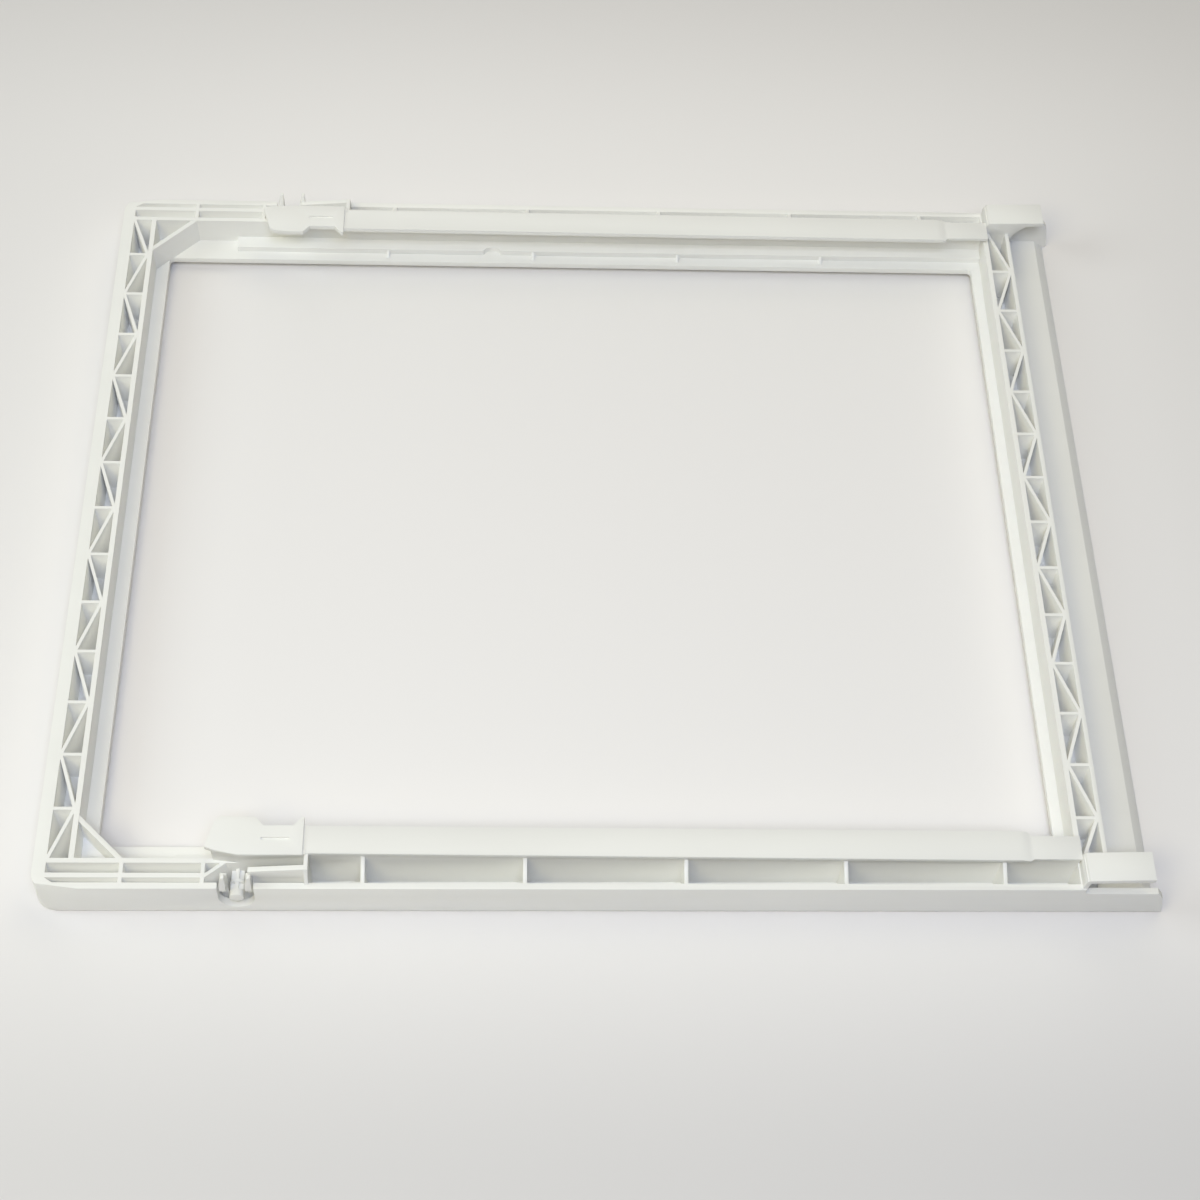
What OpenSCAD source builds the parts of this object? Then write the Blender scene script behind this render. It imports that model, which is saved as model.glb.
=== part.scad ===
// Fridge crisper cover: the moulded frame of a drawer cover, lying underside up.
// x runs from the rear beam to the front nose, y across, z up from the cover's top face.

/* [Overall] */
// Length from the rear wall's rim to the nose of the side cheeks
frame_l = 458.5; // [430:0.5:490]
// Width over the rims of both side walls
frame_w = 371.6; // [340:0.2:400]
// Height of the outer walls above the table
wall_h = 20.7; // [18:0.1:24]
// Thickness of the top skin that lies on the table
skin_t = 2.5; // [1.8:0.1:3.2]
// Plan radius of the two rear corners
corner_r = 8; // [6:0.5:10]
// Radius of the rounded edge between the skin and the outer walls
edge_r = 3; // [2:0.5:5]
// Distance that the outer walls spread from their rims down to the table
wall_draft = 0.7; // [0.3:0.1:1]
// Distance from the rear rim to the front end of the flats at the rear corners
flat_x = 18.4; // [14:0.2:22]
// Angle in plan between a corner flat and the side wall
flat_turn = 8; // [4:0.5:10]
// Lean of a corner flat from upright
flat_lean = 5.5; // [4:0.5:8]

/* [Rear beam] */
// Width of the rear beam, outer face to ledge
rear_beam_w = 16; // [14:0.5:22]
// Thickness of the rear outer wall
rear_wall_t = 5.3; // [3:0.1:6]
// Thickness of the inner wall of the rear and front beams
beam_wall_t = 2.2; // [1.6:0.1:3]
// Distance between neighbouring truss ribs
rib_pitch = 25; // [18:0.5:35]
// Thickness of the truss ribs and diagonals
rib_t = 1.4; // [1:0.1:2]

/* [Front beam] */
// Width of the front beam, ledge to flange
front_beam_w = 12.9; // [11:0.1:20]
// Thickness of the front beam's outer wall
front_wall_t = 1.8; // [1.4:0.1:2.6]
// Offset of the front truss ribs from the middle of the cover
front_rib_shift = -2.75; // [-4:0.25:4]
// Length of the flat front flange, from the beam to its nose
flange_w = 22; // [16:0.5:30]
// Thickness of the front flange
flange_t = 4; // [3:0.1:5]
// Length of the sloping underside of the nose
nose_l = 4.4; // [3:0.1:6]
// Height of the upright edge at the tip of the nose
nose_edge_h = 0.8; // [0.5:0.1:1.5]
// Distance that the side cheeks run past the flange
cheek_l = 2.5; // [1:0.5:5]

/* [Side beams] */
// Width of a side beam, outer face to ledge
side_beam_w = 13.5; // [12:0.1:16]
// Thickness of the side outer wall
side_wall_t = 2.7; // [2:0.1:3.2]
// Thickness of the side beam's inner wall
side_inner_t = 2.1; // [1.6:0.1:2.6]
// Distance from the outer face to the middle wall
mid_wall_in = 4.9; // [4.5:0.1:6]
// Thickness of the middle wall
mid_wall_t = 2.1; // [1.4:0.1:2.4]
// Distance from the rear rim to the first rib of the long side channel
channel_rib_x = 131.2; // [120:0.1:140]
// Distance between the ribs of the side channel
channel_rib_pitch = 64.8; // [50:0.5:80]
// Thickness of the side channel ribs
channel_rib_t = 1.6; // [1.2:0.1:2.4]

/* [Glass ledge] */
// Depth of the rebate that takes the glass
glass_t = 4; // [3:0.1:5]
// Thickness of the ledge that the glass rests on
ledge_t = 2.9; // [2:0.1:3.5]
// Width of the ledge along the rear beam
rear_ledge_w = 5.9; // [4:0.1:10]
// Width of the ledge along the front beam
front_ledge_w = 4.6; // [4:0.1:10]
// Width of the ledge along each side beam, with its raised platform
side_ledge_w = 11.9; // [11:0.1:16]
// Width of the raised platform beside each side beam
platform_w = 6.9; // [6:0.1:8]
// Height of the platform above the ledge
platform_h = 3.05; // [2:0.05:4]
// Distance from the rear rim to the start of the platform
platform_x = 54.5; // [45:0.5:60]
// Corner radius of the opening
opening_r = 2; // [1:0.5:4]
// Length of each side of the corner gussets
gusset_leg = 18; // [14:0.5:22]
// Thickness of the corner gussets
gusset_t = 2; // [1.4:0.1:2.6]
// Distance of the gussets' tops below the walls' tops
gusset_drop = 0.3; // [0.1:0.1:2]
// Distance between the small ribs that brace the platform
brace_pitch = 71.2; // [60:0.1:90]
// Distance from the rear rim to the first small rib
brace_x = 127.8; // [115:0.1:140]
// Length and height of the small ribs
brace_leg = 2.9; // [2:0.1:3.5]
// Distance from the rear rim to the notch in the platform's edge
notch_x = 178.9; // [150:0.1:190]
// Width of that notch
notch_w = 8.5; // [5:0.5:12]

/* [Drawer rails] */
// Height of the rail's top at its rear end
rail_top_rear = 28.4; // [26:0.1:32]
// Height of the rail's top at its front end
rail_top_front = 26.4; // [25:0.1:32]
// Thickness of the rail flange
rail_t = 2.2; // [1.6:0.1:3]
// Width of the rail flange at its rear end
rail_w_rear = 12.3; // [10:0.1:14]
// Width of the rail flange at its front end
rail_w_front = 13.2; // [10:0.1:14]
// Thickness of the web that carries the rail
rail_web_t = 2; // [1.4:0.1:2.4]
// Distance that the web stands in from the side beam's inner face
rail_web_in = 0.7; // [0.3:0.1:1]
// Overhang of the rail flange past its web at the rear end
rail_over_rear = 0.3; // [0.1:0.1:3]
// Overhang of the rail flange past its web at the front end
rail_over_front = 1.7; // [0.1:0.1:3]
// Distance from the rear rim to the rib at the rear end of the rail's web
rail_x = 108.1; // [104:0.1:114]
// Distance of the joint line between tab and rail behind that rib
joint_in = 0.7; // [0.4:0.1:1.5]
// Distance of the channel ribs' tops below the rail where they meet its web
rib_drop = 0.4; // [0.2:0.1:2]
// Length of the narrower front end of the rail
rail_end_l = 21.5; // [15:0.5:30]
// Amount by which the rail's front end is narrower
rail_end_cut = 1.8; // [0.5:0.1:3]
// Depth of the step down to the rail's front end
rail_step_h = 0.7; // [0.3:0.1:1.2]
// Length of the ramp in that step
rail_ramp_l = 7; // [2:0.5:8]
// Distance from the rear rim to the rear end of the tab
tab_x = 68.7; // [66:0.1:70]
// Height of the tab's top
tab_top = 29.4; // [28:0.1:33]
// Thickness of the tab
tab_t = 2.4; // [2:0.1:3.4]
// Width of the tab
tab_w = 16.8; // [15:0.1:18]
// Overhang of the tab past the rail's web
tab_over = 1.4; // [0.5:0.1:3]
// Angle of the tab's slanting rear end
tab_slant = 15; // [5:1:30]
// Length of the taper in the tab's outer edge
tab_taper_l = 13; // [8:0.5:18]
// Depth of that taper
tab_taper = 2.8; // [1:0.1:4]
// Corner radius at the tab's inner rear corner
tab_r = 4; // [3:0.1:6]
// Length of the upturned rear end of the tab
tab_lift_l = 13; // [8:0.5:18]
// Rise of that end
tab_lift = 1.4; // [0.5:0.1:2.5]
// Distance from the rear rim to the waist in the tab's inner edge
waist_x = 88; // [86:0.2:90]
// Length of the waist
waist_l = 18.4; // [14:0.2:18.8]
// Depth of the waist
waist_depth = 3.8; // [2:0.1:5]
// Length of the slope at each end of the waist
waist_ramp = 3.2; // [1.5:0.1:5]
// Distance from the rear rim to the slot in the tab
slot_x = 90.6; // [86:0.2:94]
// Length of that slot
slot_l = 11.4; // [6:0.2:14]
// Width of that slot
slot_w = 1.3; // [0.8:0.1:2]
// Depth of that slot
slot_depth = 0.9; // [0.4:0.1:1.4]
// Distance from the tab's outer edge to that slot
slot_in = 6.5; // [4:0.1:9]

/* [Roller stubs] */
// Length of the bay that holds the stub, up to the rib at the rail
stub_bay_l = 39.8; // [38:0.1:42]
// Length of the slanting wall along that bay
slant_l = 8.2; // [6:0.1:10]
// Thickness of the slanting wall
slant_t = 1.4; // [1:0.1:2]
// Distance from the rear rim to the stub axle
stub_x = 80.8; // [80:0.1:82]
// Height of the stub axle above the table
stub_z = 12.9; // [11:0.1:13.5]
// Diameter of the stub axle
stub_d = 5.8; // [4:0.1:7]
// Length of the solid round end of the stub
stub_end_l = 2.9; // [2:0.1:3.5]
// Distance that the stub stands out past the rim of the side wall
stub_proud = 0.2; // [0.1:0.1:2]
// Thickness of the stub's crossed ribs
stub_rib_t = 1.4; // [1:0.1:1.8]
// Radius of the notch round the stub in the side wall
stub_notch_r = 7.3; // [6.5:0.1:8]
// Gap between the stub's axis and the nearer face of each ear
ear_gap = 3.8; // [3.4:0.1:4]
// Height of the two ears beside the stub
ear_top = 28; // [26:0.1:32]
// Thickness of the ears at their tips
ear_tip_t = 1.3; // [1:0.1:2]
// Thickness of the ears at the height of the side wall
ear_root_t = 2.7; // [2:0.1:3.4]
// Width of an ear across the cover at the height of the side wall
ear_root_w = 5.2; // [4:0.1:6]
// Width of an ear across the cover at its tip
ear_tip_w = 1.2; // [0.8:0.1:2]
// Distance that an ear leans in from the side wall's face at its tip
ear_lean = 1.1; // [0.5:0.1:3]

/* [Front hooks] */
// Length of the hook plate
hook_l = 28; // [20:0.5:32]
// Height of the hook plate's top at its rear end
hook_top_rear = 27.5; // [25:0.1:32]
// Height of the hook plate's top at its front end
hook_top_front = 28.4; // [25:0.1:32]
// Thickness of the hook plate
hook_t = 2.4; // [1.8:0.1:3]
// Height of the side wall below the hook slot
hook_sill_h = 17.5; // [14:0.1:18]

/* [Hidden] */
plastic = [0.92, 0.92, 0.90];
$fn = 64;

// Depth by which pieces sink into each other, and by which cuts run past a surface
lap = 1;

// Distances along the cover, from the rear rim
front_x1 = frame_l - cheek_l - flange_w;
front_x0 = front_x1 - front_beam_w;
end_wall_x = front_x0 + beam_wall_t;
hook_x0 = front_x0 + lap;
hook_x1 = hook_x0 + hook_l;
opening_x0 = rear_beam_w + rear_ledge_w;
opening_x1 = front_x0 - front_ledge_w;
joint_x = rail_x - joint_in;
stub_bay_x0 = rail_x - stub_bay_l;
first_rib_x = stub_bay_x0 - channel_rib_t / 2 - channel_rib_pitch / 2;
tab_brace_x = stub_x + ear_gap + ear_root_t / 2;
corner_x = corner_r - wall_draft;

// Distances from the middle of the cover
half_w = frame_w / 2;
base_y = half_w + wall_draft;
wall_y = half_w - side_wall_t;
mid_y1 = half_w - mid_wall_in;
mid_y0 = mid_y1 - mid_wall_t;
ledge_y = half_w - side_beam_w;
inner_y = ledge_y + side_inner_t;
web_y0 = ledge_y - rail_web_in;
web_y1 = web_y0 + rail_web_t;
opening_y = ledge_y - side_ledge_w;
platform_y = ledge_y - platform_w;
tab_y1 = web_y1 + tab_over;

// Heights
ledge_top = glass_t + ledge_t;
platform_top = ledge_top + platform_h;

// One copy on each side of the cover
module both_sides() {
    children();
    mirror([0, 1, 0]) children();
}

// A block given by its two far corners
module block(low, high) {
    translate(low) cube(high - low);
}

// A rectangle given by its two far corners
module panel(low, high) {
    translate(low) square(high - low);
}

// A plate that stands along x, with an outline in x and z, from y0 to y1
module upright(y0, y1, outline) {
    translate([0, y1, 0])
        rotate([90, 0, 0])
            linear_extrude(y1 - y0) polygon(outline);
}

// A plate that stands across x, with an outline in y and z, from x0 to x1
module cross_plate(x0, x1, outline) {
    translate([x0, 0, 0])
        rotate([90, 0, 90])
            linear_extrude(x1 - x0) polygon(outline);
}

// Outline of the moulding's base as far as the front beam, with round rear corners
module ring_outline() {
    panel([corner_x, -base_y], [front_x1, base_y]);
    panel([-wall_draft, corner_r - base_y], [corner_x + corner_r, base_y - corner_r]);
    for (side = [-1, 1]) translate([corner_x, side * (base_y - corner_r)]) circle(corner_r);
}

// What the rounded edge and the lean of the wall above it take off a square corner
module edge_waste() {
    lean = wall_draft / (wall_h - edge_r);
    difference() {
        translate([-lap, -lap]) square(edge_r + lap);
        translate([edge_r, edge_r]) circle(edge_r);
    }
    polygon([[-lap, edge_r - lap], [0, edge_r - lap], [0, edge_r],
             [lean * (wall_h + lap - edge_r), wall_h + lap], [-lap, wall_h + lap]]);
}

// The rounded edge and the leaning outer faces, cut away at the rear, the corners and the sides
module edge_rounding() {
    for (side = [-1, 1]) {
        translate([corner_x, side * (base_y - corner_r), 0])
            rotate([0, 0, side > 0 ? 90 : 180])
                rotate_extrude(angle = 90)
                    translate([corner_r, 0]) mirror([1, 0]) edge_waste();
    }
    translate([-wall_draft, corner_r - base_y, 0])
        rotate([90, 0, 180])
            mirror([1, 0, 0])
                linear_extrude(2 * (base_y - corner_r)) edge_waste();
    both_sides()
        translate([corner_x, base_y, 0])
            rotate([90, 0, 90])
                mirror([1, 0, 0])
                    linear_extrude(frame_l) edge_waste();
}

// Leaning flat across the rear corner of a side wall, cut away
module corner_flat() {
    size = 3 * wall_h;
    translate([flat_x, half_w, wall_h])
        rotate([flat_lean, 0, flat_turn])
            translate([-size / 2, 0, -size / 2]) cube(size);
}

// Two triangular pockets between neighbouring truss ribs, parted by a diagonal.
// The diagonal meets x0 at the upper rib, or x1 if flipped.
module bay_pockets(x0, x1, y0, y1, flipped) {
    w = x1 - x0;
    p = y1 - y0;
    half_rib = rib_t / 2;
    k = 1 - half_rib * norm([1 / w, 1 / p]);
    cell = [[0, half_rib], [0, p * k], [w * (k - half_rib / p), half_rib]];
    twin = [for (c = cell) [w - c[0], p - c[1]]];
    for (corner = [cell, twin])
        translate([x0, y0]) polygon([for (c = corner) flipped ? [w - c[0], c[1]] : c]);
}

// All pockets of a beam's truss, with its ribs shifted from the middle of the cover.
// The diagonal of the bay at the far end meets x0 there, or x1 if flipped.
module truss_pockets(x0, x1, shift, flipped) {
    count = floor((ledge_y - abs(shift)) / rib_pitch);
    end_y = ledge_y + rib_t / 2;
    nodes = concat([end_y], [for (i = [-count : count]) shift - i * rib_pitch], [-end_y]);
    for (i = [0 : len(nodes) - 2])
        bay_pockets(x0, x1, nodes[i + 1], nodes[i], (i % 2 == 0) == flipped);
}

// Pockets at the rear of a side beam, on both sides of the middle wall
module rear_channel_pockets() {
    corner_cut = 3.3;
    first_x0 = first_rib_x - channel_rib_t / 2;
    first_x1 = first_rib_x + channel_rib_t / 2;
    second_x0 = stub_bay_x0 - channel_rib_t;
    for (y = [[inner_y, mid_y0], [mid_y1, wall_y]])
        panel([first_x1, y[0]], [second_x0, y[1]]);
    panel([rear_wall_t, inner_y], [first_x0, mid_y0]);
    polygon([[rear_wall_t, mid_y1], [first_x0, mid_y1], [first_x0, wall_y],
             [rear_wall_t + corner_cut, wall_y]]);
}

// Pockets of the bay that holds the roller stub, on both sides of a slanting wall
module stub_bay_pockets() {
    slant_w = mid_y1 - inner_y;
    slant = norm([slant_l, slant_w]);
    slant_x = stub_bay_x0 + slant_l;
    polygon([[stub_bay_x0, inner_y], [stub_bay_x0, mid_y1 - slant_t * slant / slant_l],
             [slant_x - slant_t * slant / slant_w, inner_y]]);
    polygon([[stub_bay_x0, wall_y], [stub_bay_x0, mid_y1], [slant_x, inner_y],
             [rail_x, inner_y], [rail_x, wall_y]]);
}

// Middles of the ribs in the long side channel
channel_ribs_x = [for (x = [channel_rib_x : channel_rib_pitch : front_x0 - channel_rib_t]) x];

// Pockets between the ribs of the long side channel
module front_channel_pockets() {
    half_rib = channel_rib_t / 2;
    starts = concat([rail_x + half_rib], channel_ribs_x);
    ends = concat(channel_ribs_x, [front_x0 + half_rib]);
    for (i = [0 : len(starts) - 1])
        panel([starts[i] + half_rib, web_y1], [ends[i] - half_rib, wall_y]);
}

// Ring of beams: outer walls, inner walls and ribs are what the pockets leave
module ring() {
    difference() {
        linear_extrude(wall_h)
            difference() {
                ring_outline();
                panel([rear_beam_w, -ledge_y], [front_x0, ledge_y]);
            }
        translate([0, 0, skin_t])
            linear_extrude(wall_h) {
                truss_pockets(rear_wall_t, rear_beam_w - beam_wall_t, 0, false);
                truss_pockets(end_wall_x, front_x1 - front_wall_t, front_rib_shift, false);
                both_sides() {
                    rear_channel_pockets();
                    stub_bay_pockets();
                    front_channel_pockets();
                    panel([end_wall_x, inner_y], [front_x1 + lap, wall_y]);
                }
            }
    }
}

// Outline of the opening, with small round corners
module opening_outline() {
    panel([opening_x0, opening_r - opening_y], [opening_x1, opening_y - opening_r]);
    panel([opening_x0 + opening_r, -opening_y], [opening_x1 - opening_r, opening_y]);
    for (x = [opening_x0 + opening_r, opening_x1 - opening_r])
        for (side = [-1, 1]) translate([x, side * (opening_y - opening_r)]) circle(opening_r);
}

// Ledge round the opening that carries the glass, with a raised platform along each side
module ledge() {
    difference() {
        union() {
            translate([0, 0, glass_t])
                linear_extrude(ledge_t)
                    difference() {
                        panel([rear_beam_w - lap, -ledge_y - lap], [front_x0 + lap, ledge_y + lap]);
                        opening_outline();
                    }
            both_sides()
                block([platform_x, platform_y, ledge_top - lap],
                      [front_x0 + lap, ledge_y + lap, platform_top]);
        }
        both_sides() {
            block([platform_x + ledge_t, platform_y + ledge_t, 0],
                  [front_x0 - ledge_t, ledge_y, platform_top - ledge_t]);
            platform_notch();
        }
    }
}

// Arched notch in the edge of the platform
module platform_notch() {
    depth = 2.6;
    bow = (notch_w * notch_w / 4 + depth * depth) / (2 * depth);
    translate([notch_x, platform_y + depth - bow, ledge_top])
        cylinder(r = bow, h = platform_h + lap);
}

// Small ribs that brace the platform's edge on the ledge
module braces() {
    count = 4;
    toe_h = 0.3;
    for (i = [0 : count - 1]) {
        x = brace_x + i * brace_pitch;
        cross_plate(x - rib_t / 2, x + rib_t / 2,
                    [[platform_y - brace_leg, ledge_top - lap], [platform_y + lap, ledge_top - lap],
                     [platform_y + lap, ledge_top + brace_leg],
                     [platform_y - brace_leg, ledge_top + toe_h]]);
    }
}

// Diagonal wall across a rear corner, a little lower than the walls it joins
module gusset() {
    reach = gusset_t / sqrt(2);
    base_z = glass_t + lap;
    root_x = rear_beam_w - lap;
    root_y = ledge_y + lap;
    leg = gusset_leg + 2 * lap;
    translate([0, 0, base_z])
        linear_extrude(wall_h - gusset_drop - base_z)
            polygon([[root_x, root_y - leg - reach], [root_x, root_y - leg + reach],
                     [root_x + leg - reach, root_y], [root_x + leg + reach, root_y]]);
}

// Height of the rail's top at a distance along the cover
function rail_z(x) =
    rail_top_rear + (rail_top_front - rail_top_rear) * (x - joint_x) / (hook_x0 - joint_x);

// Upright web that carries the rail
module rail_web() {
    sink = rail_t / 2;
    upright(web_y0, web_y1,
            [[rail_x, platform_top - lap], [hook_x0, platform_top - lap],
             [hook_x0, rail_z(hook_x0) - sink], [rail_x, rail_z(rail_x) - sink]]);
}

// Ribs of the long side channel, sloping up from the side wall to the rail's web
module channel_ribs() {
    rim_drop = 0.2;
    for (x = channel_ribs_x) {
        top = rail_z(x) - rail_t - rib_drop;
        cross_plate(x - channel_rib_t / 2, x + channel_rib_t / 2,
                    [[web_y1 - lap, wall_h - 2 * lap], [wall_y + lap, wall_h - 2 * lap],
                     [wall_y + lap, wall_h - rim_drop], [wall_y, wall_h - rim_drop],
                     [web_y1, top], [web_y1 - lap, top]]);
    }
}

// Flange of the rail, with a narrower and slightly lower front end
module rail_flange() {
    end_x = hook_x0;
    step_x = end_x - rail_end_l;
    slope = atan2(rail_top_rear - rail_top_front, end_x - joint_x);
    outer_rear = web_y1 + rail_over_rear;
    outer_front = web_y1 + rail_over_front;
    inner_rear = outer_rear - rail_w_rear;
    inner_front = outer_front - rail_w_front;
    end_in = inner_front + rail_end_cut;
    end_out = outer_front - rail_end_cut / 2;
    cut = rail_end_cut;
    difference() {
        translate([joint_x, 0, rail_top_rear])
            rotate([0, slope, 0])
                translate([-joint_x, 0, -rail_t])
                    linear_extrude(rail_t)
                        polygon([[joint_x - lap, inner_rear], [step_x, inner_front],
                                 [step_x + cut, end_in], [end_x, end_in], [end_x, end_out],
                                 [step_x + cut, end_out], [step_x, outer_front],
                                 [joint_x - lap, outer_rear]]);
        upright(0, half_w,
                [[step_x - rail_ramp_l, rail_z(step_x) + rail_step_h],
                 [step_x, rail_z(step_x) - rail_step_h],
                 [end_x + lap, rail_z(end_x + lap) - rail_step_h],
                 [end_x + lap, rail_top_rear + lap], [step_x - rail_ramp_l, rail_top_rear + lap]]);
    }
}

// Plan of the tab: a slanting rear end with a round inner corner, and a waist
module tab_outline() {
    inner = tab_y1 - tab_w;
    tip = [tab_x, tab_y1 - tab_taper];
    bend = [tab_x + tab_taper_l / 3, tab_y1 - tab_taper / 2];
    slant = [cos(tab_slant), sin(tab_slant)];
    round_y = inner + tab_r;
    round_x = tab_x + (tab_r - slant[1] * (round_y - tip[1])) / slant[0];
    middle = [round_x, round_y];
    waist_x1 = waist_x + waist_l;
    difference() {
        union() {
            polygon([tip, middle - tab_r * slant, middle, [round_x, inner], [joint_x, inner],
                     [joint_x, tab_y1], [tab_x + tab_taper_l, tab_y1], bend]);
            translate(middle) circle(tab_r);
        }
        polygon([[waist_x, inner - lap], [waist_x, inner], [waist_x + waist_ramp, inner + waist_depth],
                 [waist_x1 - waist_ramp, inner + waist_depth], [waist_x1, inner],
                 [waist_x1, inner - lap]]);
    }
}

// Tab at the rear end of the rail, with an upturned end and a shallow slot
module tab() {
    flat_x0 = tab_x + tab_lift_l;
    start_x = tab_x - lap;
    start_z = tab_top + tab_lift * (flat_x0 - start_x) / tab_lift_l;
    end_x = joint_x + lap;
    slot_y = tab_y1 - slot_in;
    difference() {
        intersection() {
            translate([0, 0, tab_top - tab_t - lap])
                linear_extrude(tab_t + tab_lift + 2 * lap) tab_outline();
            upright(0, half_w,
                    [[start_x, start_z - tab_t], [flat_x0, tab_top - tab_t], [end_x, tab_top - tab_t],
                     [end_x, tab_top], [flat_x0, tab_top], [start_x, start_z]]);
        }
        block([slot_x, slot_y - slot_w, tab_top - slot_depth], [slot_x + slot_l, slot_y, tab_top + lap]);
    }
}

// Wall under the tab, with a thin rear end
module tab_web() {
    rear_x = tab_x + 2.5;
    sink = tab_t / 3;
    translate([0, 0, wall_h - lap])
        linear_extrude(tab_top - sink - wall_h + lap)
            polygon([[rear_x, ledge_y], [rail_x + lap / 2, ledge_y], [rail_x + lap / 2, inner_y],
                     [tab_x + tab_taper_l, inner_y], [rear_x, inner_y - tab_taper / 2]]);
}

// Raised piece of middle wall and the tall rib beside the tab
module tab_brace() {
    top = tab_top - 1.3;
    slope_h = 2.2;
    rim_drop = 0.2;
    upright(mid_y0, mid_y1,
            [[tab_brace_x, skin_t - lap], [rail_x + lap, skin_t - lap], [rail_x + lap, top],
             [tab_brace_x, top - slope_h]]);
    cross_plate(rail_x, rail_x + channel_rib_t,
                [[inner_y - lap, wall_h - 2 * lap], [wall_y + lap, wall_h - 2 * lap],
                 [wall_y + lap, wall_h - rim_drop], [mid_y1, top], [inner_y - lap, top]]);
}

// Stub axle for a roller: crossed ribs, a ring and a solid round end
module stub() {
    root = inner_y - lap;
    reach = half_w + stub_proud - root;
    r = stub_d / 2;
    rib_r = r - 0.3;
    half_rib = stub_rib_t / 2;
    translate([stub_x, root, stub_z])
        rotate([-90, 0, 0]) {
            translate([0, 0, reach - stub_end_l]) cylinder(r = r, h = stub_end_l);
            translate([0, 0, mid_y0 - root]) cylinder(r = r, h = stub_rib_t);
            linear_extrude(reach - stub_end_l / 2) {
                panel([-rib_r, -half_rib], [rib_r, half_rib]);
                panel([-half_rib, -rib_r], [half_rib, rib_r]);
            }
        }
}

// Pointed ears on both sides of the stub, set back from the side wall's face, on narrower feet
module ears() {
    tip_drop = 0.4;
    root_y = half_w - 0.3;
    foot_y = mid_y1 + 0.4;
    foot_top = wall_h - 3 * lap;
    tip_y = half_w - ear_lean;
    for (x = [stub_x - ear_gap, stub_x + ear_gap + ear_root_t])
        intersection() {
            upright(mid_y0, half_w,
                    [[x, skin_t - lap], [x, ear_top], [x - ear_tip_t, ear_top - tip_drop],
                     [x - ear_root_t, wall_h], [x - ear_root_t, skin_t - lap]]);
            cross_plate(x - ear_root_t - lap, x + lap,
                        [[mid_y0 - lap, 0], [foot_y, 0], [foot_y, foot_top - lap], [root_y, foot_top],
                         [tip_y, ear_top + lap], [tip_y - ear_tip_w, ear_top + lap],
                         [root_y - ear_root_w, wall_h], [mid_y0 - lap, wall_h]]);
        }
}

// Round-bottomed notch in the side wall, open at the top
module stub_notch() {
    translate([stub_x, wall_y - lap, stub_z])
        rotate([-90, 0, 0]) cylinder(r = stub_notch_r, h = base_y - wall_y + 2 * lap);
    block([stub_x - stub_notch_r, wall_y - lap, stub_z],
          [stub_x + stub_notch_r, base_y + lap, wall_h + lap]);
}

// Opening in the side wall under the hook plate
module hook_slot() {
    block([end_wall_x, wall_y - lap, hook_sill_h], [front_x1 + lap, base_y + lap, wall_h + lap]);
}

// Hook plate over an open slot at the front end of the side beam
module hook() {
    start_x = hook_x0 - 0.3;
    rake = 1.5;
    heel = 1.2;
    plate_y = half_w - 0.8;
    upright(ledge_y, plate_y,
            [[start_x, hook_top_rear - hook_t - lap], [start_x + rake, hook_top_rear],
             [hook_x1, hook_top_front], [hook_x1, hook_top_front - hook_t],
             [start_x + rake + heel, hook_top_rear - hook_t]]);
    hook_end_wall(plate_y);
    hook_skirt();
}

// End wall of the long channel, which rises to the hook plate
module hook_end_wall(y) {
    lean = 1.4;
    top_t = 1.8;
    root_z = wall_h - 3 * lap;
    top_z = hook_top_rear - lap;
    upright(inner_y - lap / 2, y,
            [[front_x0, root_z], [end_wall_x, root_z], [front_x0 + lean + top_t, top_z],
             [front_x0 + lean, top_z]]);
}

// Skirt under the inner edge of the hook plate, with a curved lower edge
module hook_skirt() {
    curve_r = 17.1;
    curve_in = 0.2;
    curve_z = 11.2;
    difference() {
        upright(ledge_y, inner_y,
                [[front_x0 + lap / 2, wall_h - 2 * lap], [front_x1 - lap, curve_z - lap],
                 [hook_x1, curve_z - lap], [hook_x1, hook_top_front - lap],
                 [hook_x0 + lap, hook_top_rear - lap]]);
        translate([front_x1 + curve_in + curve_r, ledge_y - lap, curve_z])
            rotate([-90, 0, 0]) cylinder(r = curve_r, h = side_inner_t + 2 * lap);
        block([front_x1, ledge_y - lap, 0], [hook_x1 + lap, inner_y + lap, curve_z]);
    }
}

// Side wall in front of the beam: lower under the hook slot, with a raked nose
module cheek() {
    root_x = front_x1 - 2 * lap;
    toe = 0.6;
    toe_h = 1;
    rake = 2.5;
    rake_h = 4;
    upright(wall_y, base_y,
            [[root_x, 0], [frame_l - toe, 0], [frame_l, toe_h], [frame_l - cheek_l, hook_sill_h - rake_h],
             [frame_l - cheek_l - rake, hook_sill_h], [root_x, hook_sill_h]]);
}

// Flat flange in front of the front beam, with a sloping nose
module front_flange() {
    nose_x = frame_l - cheek_l;
    edge_in = 0.4;
    upright(-wall_y - lap, wall_y + lap,
            [[front_x1 - lap, 0], [nose_x - edge_in, 0], [nose_x, nose_edge_h],
             [nose_x - nose_l, flange_t], [front_x1 - lap, flange_t]]);
}

// The whole moulding
module cover_frame() {
    color(plastic)
        translate([(wall_draft - frame_l) / 2, 0, 0]) {
            difference() {
                union() {
                    ring();
                    front_flange();
                    both_sides() cheek();
                }
                edge_rounding();
                both_sides() {
                    corner_flat();
                    stub_notch();
                    hook_slot();
                }
            }
            ledge();
            both_sides() {
                braces();
                gusset();
                rail_web();
                channel_ribs();
                rail_flange();
                tab();
                tab_web();
                tab_brace();
                stub();
                ears();
                hook();
            }
        }
}

cover_frame();
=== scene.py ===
"""Looks, stage and camera for the moulded frame of a fridge crisper cover, in metres."""

import math

import bmesh
import bpy
from mathutils import Matrix, Vector


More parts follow.
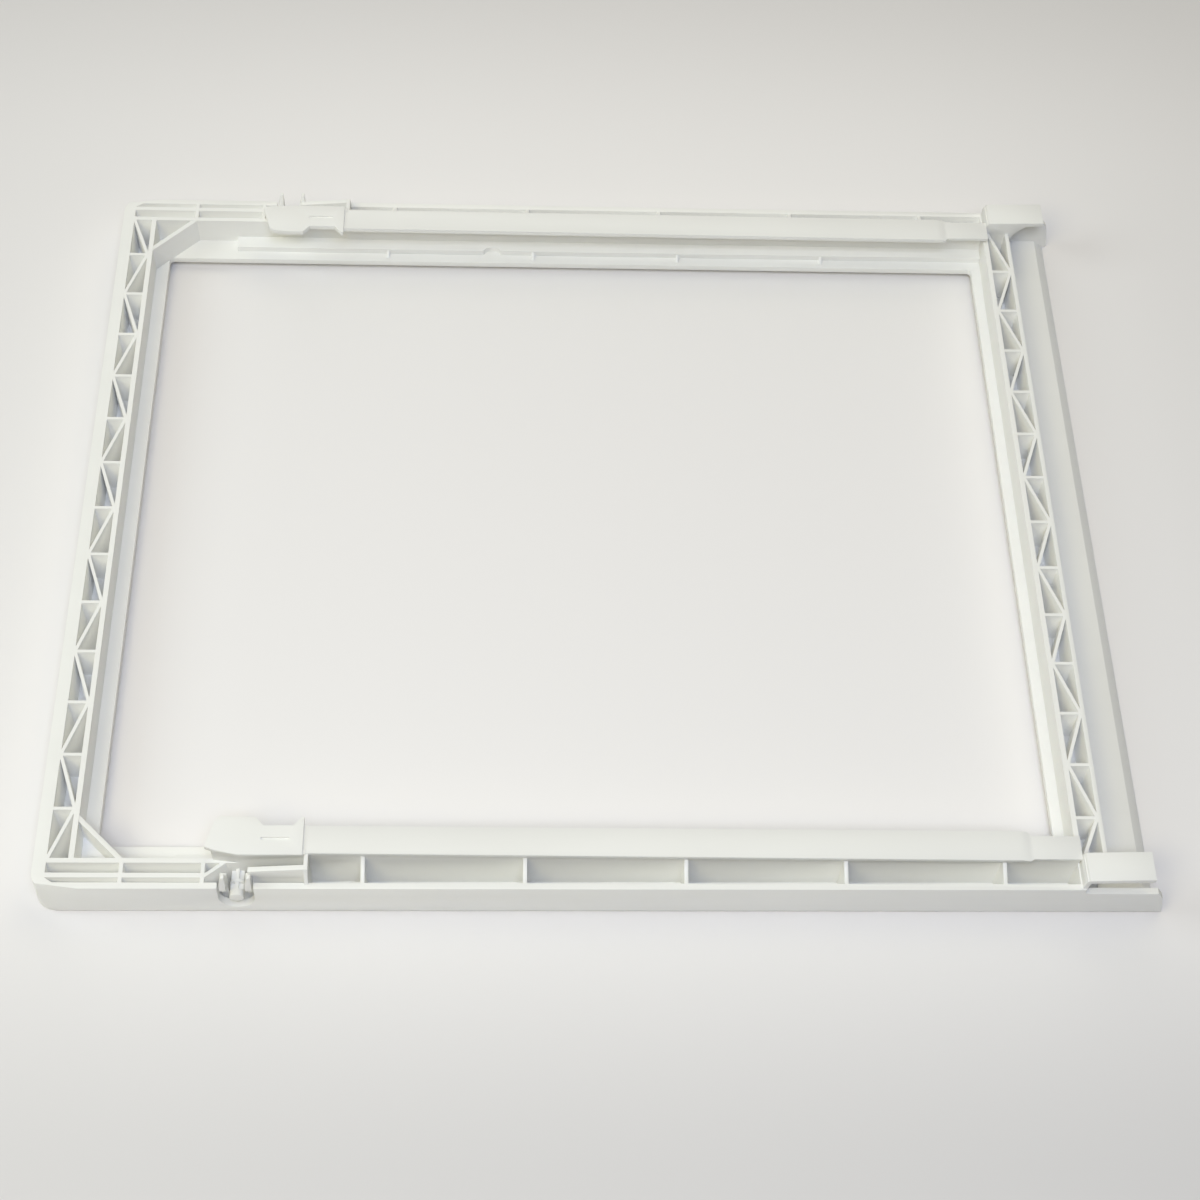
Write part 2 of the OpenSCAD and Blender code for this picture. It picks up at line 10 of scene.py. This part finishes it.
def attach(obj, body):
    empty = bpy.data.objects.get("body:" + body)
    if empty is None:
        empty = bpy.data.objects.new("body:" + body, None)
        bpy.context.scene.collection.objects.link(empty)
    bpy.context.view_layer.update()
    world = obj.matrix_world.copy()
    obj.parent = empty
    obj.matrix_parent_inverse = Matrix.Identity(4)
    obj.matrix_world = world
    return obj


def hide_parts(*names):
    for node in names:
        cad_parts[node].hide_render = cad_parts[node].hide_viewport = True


bl_info = {
    "name": "Fridge Crisper Cover",
    "version": (1, 0, 0),
    "blender": (4, 5, 0),
    "location": "View3D > Sidebar > Crisper Cover",
    "description": "Finishes the moulded crisper cover frame and sets it on a pale table",
    "category": "Object",
}

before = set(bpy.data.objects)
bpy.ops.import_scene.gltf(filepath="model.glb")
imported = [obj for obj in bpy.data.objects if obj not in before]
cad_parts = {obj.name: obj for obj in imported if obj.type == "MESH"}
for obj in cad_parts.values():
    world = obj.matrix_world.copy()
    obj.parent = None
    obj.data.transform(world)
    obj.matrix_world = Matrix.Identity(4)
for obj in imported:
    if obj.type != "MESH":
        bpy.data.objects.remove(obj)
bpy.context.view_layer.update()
NODE = "cover_frame"
MM = 0.001


class Socket:
    """An output socket that adds Math nodes when it is used in an expression."""

    def __init__(self, shader, output):
        self.shader = shader
        self.output = output

    def _math(self, operation, *values):
        return self.shader.add("ShaderNodeMath", {"operation": operation}, dict(enumerate(values)))

    def __add__(self, other):
        return self._math("ADD", self, other)

    def __radd__(self, other):
        return self._math("ADD", other, self)

    def __sub__(self, other):
        return self._math("SUBTRACT", self, other)

    def __rsub__(self, other):
        return self._math("SUBTRACT", other, self)

    def __mul__(self, other):
        return self._math("MULTIPLY", self, other)

    def __rmul__(self, other):
        return self._math("MULTIPLY", other, self)

    def above(self, edge, width):
        """0 below the edge, 1 above it, with a soft step of that width."""
        return self.shader.add(
            "ShaderNodeMapRange",
            {"interpolation_type": "SMOOTHSTEP"},
            {"Value": self, "From Min": edge - width / 2, "From Max": edge + width / 2},
        )


class Shader:
    """A material's nodes, added one call at a time."""

    def __init__(self, name):
        self.material = bpy.data.materials.new(name)
        self.material.use_nodes = True
        self.tree = self.material.node_tree
        self.surface = self.tree.nodes["Principled BSDF"]

    def add(self, kind, settings=None, inputs=None, output=0):
        """One node: its settings are made first, then its sockets get values or links."""
        node = self.tree.nodes.new(kind)
        for name, value in (settings or {}).items():
            setattr(node, name, value)
        for name, value in (inputs or {}).items():
            self.feed(node.inputs[name], value)
        return Socket(self, node.outputs[output])

    def feed(self, target, value):
        """Links a socket's output to the target, or sets the target to a plain value."""
        if isinstance(value, Socket):
            self.tree.links.new(value.output, target)
        else:
            target.default_value = value

    def mix(self, factor, first, second):
        """A colour between two colours."""
        return self.add(
            "ShaderNodeMix",
            {"data_type": "RGBA"},
            {"Factor": factor, 6: first, 7: second},
            output=2,
        )

    def set(self, **inputs):
        """Feeds the surface shader; names use underscores for spaces."""
        for name, value in inputs.items():
            self.feed(self.surface.inputs[name.replace("_", " ")], value)


def shade(colour, factor):
    """A colour made lighter or darker."""
    return tuple(channel * factor for channel in colour[:3]) + (1.0,)


class CrisperCoverPlastic(bpy.types.PropertyGroup):
    """Colour and finish of the moulded plastic."""

    colour: bpy.props.FloatVectorProperty(
        name="Colour", description="Colour of the moulded plastic",
        default=(0.87, 0.865, 0.82), subtype="COLOR", size=3, min=0, max=1)
    roughness: bpy.props.FloatProperty(
        name="Roughness", description="Mean roughness of the moulded surface",
        default=0.42, min=0, max=1, subtype="FACTOR")
    edge_radius: bpy.props.FloatProperty(
        name="Edge radius",
        description="Largest bevel of the sharp edges; the narrowest place on the mesh cuts it down",
        default=0.35 * MM, min=0, max=1 * MM, unit="LENGTH", precision=5)
    smooth_angle: bpy.props.FloatProperty(
        name="Smooth angle", description="Largest angle between facets that are shaded as one curve",
        default=math.radians(36), subtype="ANGLE")


class CrisperCoverStage(bpy.types.PropertyGroup):
    """Table, lights and camera."""

    table_colour: bpy.props.FloatVectorProperty(
        name="Table colour", description="Colour of the table",
        default=(0.862, 0.84, 0.823), subtype="COLOR", size=3, min=0, max=1)
    table_size: bpy.props.FloatProperty(
        name="Table size", description="Length of each side of the table",
        default=6.0, unit="LENGTH")
    light_power: bpy.props.FloatProperty(
        name="Light power", description="Power in watts of a soft light with a share of one",
        default=20.0, min=0)
    light_distance: bpy.props.FloatProperty(
        name="Light distance", description="Distance of the soft lights from the cover",
        default=1.7, unit="LENGTH")
    fill_strength: bpy.props.FloatProperty(
        name="Fill light", description="Strength of the even light from all sides",
        default=0.05, min=0)
    fill_colour: bpy.props.FloatVectorProperty(
        name="Fill colour", description="Colour of the even light from all sides",
        default=(0.93, 0.96, 1.0), subtype="COLOR", size=3, min=0, max=1)
    camera_place: bpy.props.FloatVectorProperty(
        name="Camera place", description="Place of the camera, from the middle of the cover",
        default=(-0.03941, -0.56568, 0.80643), subtype="TRANSLATION", unit="LENGTH")
    camera_turn: bpy.props.FloatProperty(
        name="Camera turn", description="Turn of the camera about the vertical",
        default=0.0863, subtype="ANGLE")
    camera_tilt: bpy.props.FloatProperty(
        name="Camera tilt", description="Angle of the camera below the horizon",
        default=0.9896, subtype="ANGLE")
    camera_roll: bpy.props.FloatProperty(
        name="Camera roll", description="Roll of the camera about its own line of sight",
        default=0.0801, subtype="ANGLE")
    focal_pixels: bpy.props.FloatProperty(
        name="Focal length", description="Focal length in pixels of a picture 1200 pixels wide",
        default=2164.37)
    centre_pixels: bpy.props.FloatVectorProperty(
        name="Optical centre", description="Optical centre in pixels of a picture 1200 pixels wide",
        default=(613.41, 608.72), size=2)


# Middle value of a noise texture
NOISE_MIDDLE = 0.5

# Shares of the round clouds and the long flow marks in the plastic's mottle, and the factors that
# make its darkest and palest places from the plastic's colour
CLOUD_SHARE = 0.6
FLOW_SHARE = 0.4
MOTTLE_STEP = 0.5
DARKEST_PLASTIC = 0.975
PALEST_PLASTIC = 1.02

# How much the flow marks and the grain change the plastic's roughness
FLOW_ROUGHNESS = 0.12
GRAIN_ROUGHNESS = 0.08


def plastic_material(settings):
    """Satin white moulded plastic with faint flow marks and a fine grain."""
    shader = Shader("moulded_plastic")
    place = shader.add("ShaderNodeTexCoord", output=3)
    cloud = shader.add("ShaderNodeTexNoise", {}, {"Vector": place, "Scale": 14.0, "Detail": 3.0})
    flow_place = shader.add(
        "ShaderNodeMapping", {}, {"Vector": place, "Scale": (4.0, 22.0, 30.0)})
    flow = shader.add("ShaderNodeTexNoise", {}, {"Vector": flow_place, "Scale": 3.0, "Detail": 4.0})
    grain = shader.add(
        "ShaderNodeTexNoise", {}, {"Vector": place, "Scale": 1600.0, "Detail": 2.0})
    mottle = cloud * CLOUD_SHARE + flow * FLOW_SHARE
    colour = shader.mix(
        mottle.above(NOISE_MIDDLE, MOTTLE_STEP),
        shade(settings.colour, DARKEST_PLASTIC),
        shade(settings.colour, PALEST_PLASTIC))
    least_rough = settings.roughness - (FLOW_ROUGHNESS + GRAIN_ROUGHNESS) * NOISE_MIDDLE
    shader.set(
        Base_Color=colour,
        Roughness=flow * FLOW_ROUGHNESS + grain * GRAIN_ROUGHNESS + least_rough,
        Normal=shader.add(
            "ShaderNodeBump", {}, {"Strength": 0.12, "Distance": 0.00008, "Height": grain}),
    )
    return shader.material


# Vertices this close together are one, and faces that meet at less than this angle are one flat
WELD_DISTANCE = 1e-6
FLAT_ANGLE = math.radians(0.5)

# Strips across each bevelled edge, and the most corners that a face keeps
BEVEL_STRIPS = 2
MOST_CORNERS = 4


def bevelled_copy(node, edge_radius, smooth_angle):
    """A welded copy of the CAD node's mesh, shaded smooth over its curves.

    The overlap clamp holds the bevel to the narrowest place on the mesh, so on this frame it is a
    hair-thin strip along each sharp edge. It leaves the shape as it is and softens the shading.
    """
    mesh = bpy.data.meshes.new("moulding")
    work = bmesh.new()
    work.from_mesh(node.data)
    bmesh.ops.remove_doubles(work, verts=work.verts, dist=WELD_DISTANCE)
    bmesh.ops.dissolve_limit(work, angle_limit=FLAT_ANGLE, verts=work.verts, edges=work.edges)
    sharp = [
        edge for edge in work.edges
        if edge.is_manifold and edge.calc_face_angle() > smooth_angle]
    bmesh.ops.bevel(
        work, geom=sharp, offset=edge_radius, offset_type="OFFSET", segments=BEVEL_STRIPS,
        profile=0.5, affect="EDGES", clamp_overlap=True)
    bmesh.ops.triangulate(
        work, faces=[face for face in work.faces if len(face.verts) > MOST_CORNERS])
    for face in work.faces:
        face.smooth = True
    for edge in work.edges:
        if edge.is_manifold and edge.calc_face_angle() > smooth_angle:
            edge.smooth = False
    work.to_mesh(mesh)
    work.free()
    piece = bpy.data.objects.new("moulding", mesh)
    bpy.context.scene.collection.objects.link(piece)
    return piece


class CRISPER_OT_moulding(bpy.types.Operator):
    """Adds the moulded frame with its plastic"""

    bl_idname = "crisper.moulding"
    bl_label = "Moulded Frame"

    def execute(self, context):
        settings = context.scene.crisper_plastic
        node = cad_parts[NODE]
        piece = bevelled_copy(node, settings.edge_radius, settings.smooth_angle)
        piece.data.materials.append(plastic_material(settings))
        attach(piece, "root")
        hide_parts(NODE)
        return {"FINISHED"}


# Painted pool of light on the table, in place of the lights' falloff: where it begins and ends along
# each axis, in metres from the middle of the cover, each with the width of its soft step
PAINTED_LIGHT_POOL_X = ((-0.37, 0.6), (0.42, 0.6))
PAINTED_LIGHT_POOL_Y = ((-0.235, 0.14), (0.34, 0.22))

# Factor that makes the table's painted shade towards its edges, and how far clouds shift the two
# parts
TABLE_PAINTED_SHADE = 0.785
TABLE_CLOUD = 0.06


def within(value, band):
    """1 inside a band and 0 outside it, with a soft step at each end."""
    begin, end = band
    return value.above(*begin) * (1.0 - value.above(*end))


def table_material(settings):
    """Plain pale table top with a painted pool of light in its middle and painted shade towards its
    edges.
    """
    shader = Shader("table_top")
    place = shader.add("ShaderNodeTexCoord", output=3)
    cloud = shader.add("ShaderNodeTexNoise", {}, {"Vector": place, "Scale": 2.0, "Detail": 2.0})
    x, y = (
        shader.add("ShaderNodeSeparateXYZ", {}, {"Vector": place}, output=axis) for axis in (0, 1))
    # Painted pool of light: full table colour inside it, painted shade outside it
    painted_light_pool = within(y, PAINTED_LIGHT_POOL_Y) * within(x, PAINTED_LIGHT_POOL_X)
    shader.set(
        Base_Color=shader.mix(
            painted_light_pool + (cloud - NOISE_MIDDLE) * TABLE_CLOUD,
            shade(settings.table_colour, TABLE_PAINTED_SHADE),
            shade(settings.table_colour, 1.0)),
        Roughness=0.6,
    )
    return shader.material


def add_table(settings):
    """A wide flat table under the cover."""
    half = settings.table_size / 2
    corners = [(-half, -half, 0), (half, -half, 0), (half, half, 0), (-half, half, 0)]
    mesh = bpy.data.meshes.new("table")
    mesh.from_pydata(corners, [], [(0, 1, 2, 3)])
    table = bpy.data.objects.new("table", mesh)
    bpy.context.scene.collection.objects.link(table)
    table.data.materials.append(table_material(settings))


# Soft lights: name, direction round the cover and height above the table in degrees,
# size in metres, share of the light power, colour
SOFT_LIGHTS = (
    ("front_window", 270, 62, 0.6, 0.66, (0.72, 0.79, 1.0)),
    ("front_left_lamp", 232, 52, 0.7, 0.44, (1.0, 0.925, 0.66)),
    ("left_window", 180, 35, 0.8, 0.37, (0.905, 0.99, 1.0)),
    ("back_wall", 90, 35, 1.6, 0.35, (1.0, 0.944, 0.89)),
    ("right_lamp", 45, 62, 1.0, 0.23, (1.0, 0.963, 0.706)),
)


def add_soft_lights(settings):
    """Square soft lights that face the cover."""
    for name, azimuth, elevation, size, share, colour in SOFT_LIGHTS:
        light = bpy.data.lights.new(name, "AREA")
        light.size = size
        light.energy = settings.light_power * share
        light.color = colour
        flat = math.cos(math.radians(elevation))
        away = Vector((
            math.cos(math.radians(azimuth)) * flat,
            math.sin(math.radians(azimuth)) * flat,
            math.sin(math.radians(elevation))))
        lamp = bpy.data.objects.new(name, light)
        lamp.location = away * settings.light_distance
        lamp.rotation_mode = "QUATERNION"
        lamp.rotation_quaternion = (-away).to_track_quat("-Z", "Y")
        bpy.context.scene.collection.objects.link(lamp)


def add_fill_light(settings):
    """Even light from all sides."""
    world = bpy.data.worlds.new("room")
    world.use_nodes = True
    background = world.node_tree.nodes["Background"]
    background.inputs["Color"].default_value = shade(settings.fill_colour, 1.0)
    background.inputs["Strength"].default_value = settings.fill_strength
    bpy.context.scene.world = world


# Width of the picture that the camera's focal length and centre are given in, the width of the
# camera's sensor, and the nearest distance that it sees
PICTURE_PIXELS = 1200
SENSOR_MM = 36.0
NEAREST_VIEW = 0.01


def camera_axes(turn, tilt, roll):
    """Right, up and backward directions of a camera that turns, tilts down and rolls."""
    ahead = Vector((
        math.sin(turn) * math.cos(tilt),
        math.cos(turn) * math.cos(tilt),
        -math.sin(tilt)))
    right = Vector((math.cos(turn), -math.sin(turn), 0))
    up = right.cross(ahead)
    rolled_right = right * math.cos(roll) + up * math.sin(roll)
    rolled_up = up * math.cos(roll) - right * math.sin(roll)
    return rolled_right, rolled_up, -ahead


def add_camera(settings):
    """The camera at the photograph's viewing angle."""
    data = bpy.data.cameras.new("camera")
    data.sensor_width = SENSOR_MM
    data.lens = settings.focal_pixels / PICTURE_PIXELS * SENSOR_MM
    data.shift_x = (PICTURE_PIXELS / 2 - settings.centre_pixels[0]) / PICTURE_PIXELS
    data.shift_y = (settings.centre_pixels[1] - PICTURE_PIXELS / 2) / PICTURE_PIXELS
    data.clip_start = NEAREST_VIEW
    camera = bpy.data.objects.new("camera", data)
    axes = camera_axes(settings.camera_turn, settings.camera_tilt, settings.camera_roll)
    camera.matrix_world = (
        Matrix.Translation(Vector(settings.camera_place)) @ Matrix(axes).transposed().to_4x4())
    bpy.context.scene.collection.objects.link(camera)
    bpy.context.scene.camera = camera


class CRISPER_OT_stage(bpy.types.Operator):
    """Adds the table, the lights and the camera"""

    bl_idname = "crisper.stage"
    bl_label = "Stage"

    def execute(self, context):
        settings = context.scene.crisper_stage
        add_table(settings)
        add_soft_lights(settings)
        add_fill_light(settings)
        add_camera(settings)
        context.scene.view_settings.view_transform = "Standard"
        return {"FINISHED"}


OPERATORS = (CRISPER_OT_moulding, CRISPER_OT_stage)


class CRISPER_PT_panel(bpy.types.Panel):
    """Buttons and settings for the crisper cover"""

    bl_label = "Crisper Cover"
    bl_idname = "CRISPER_PT_panel"
    bl_space_type = "VIEW_3D"
    bl_region_type = "UI"
    bl_category = "Crisper Cover"

    def draw(self, context):
        for group in (context.scene.crisper_plastic, context.scene.crisper_stage):
            box = self.layout.box()
            for name in group.bl_rna.properties.keys():
                if name not in {"rna_type", "name"}:
                    box.prop(group, name)
        for operator in OPERATORS:
            self.layout.operator(operator.bl_idname)


CLASSES = (CrisperCoverPlastic, CrisperCoverStage, *OPERATORS, CRISPER_PT_panel)


def register():
    for cls in CLASSES:
        bpy.utils.register_class(cls)
    bpy.types.Scene.crisper_plastic = bpy.props.PointerProperty(type=CrisperCoverPlastic)
    bpy.types.Scene.crisper_stage = bpy.props.PointerProperty(type=CrisperCoverStage)


def unregister():
    del bpy.types.Scene.crisper_stage
    del bpy.types.Scene.crisper_plastic
    for cls in reversed(CLASSES):
        bpy.utils.unregister_class(cls)


def main():
    """Builds everything in order."""
    register()
    bpy.ops.crisper.moulding()
    bpy.ops.crisper.stage()


if __name__ == "__main__":
    main()
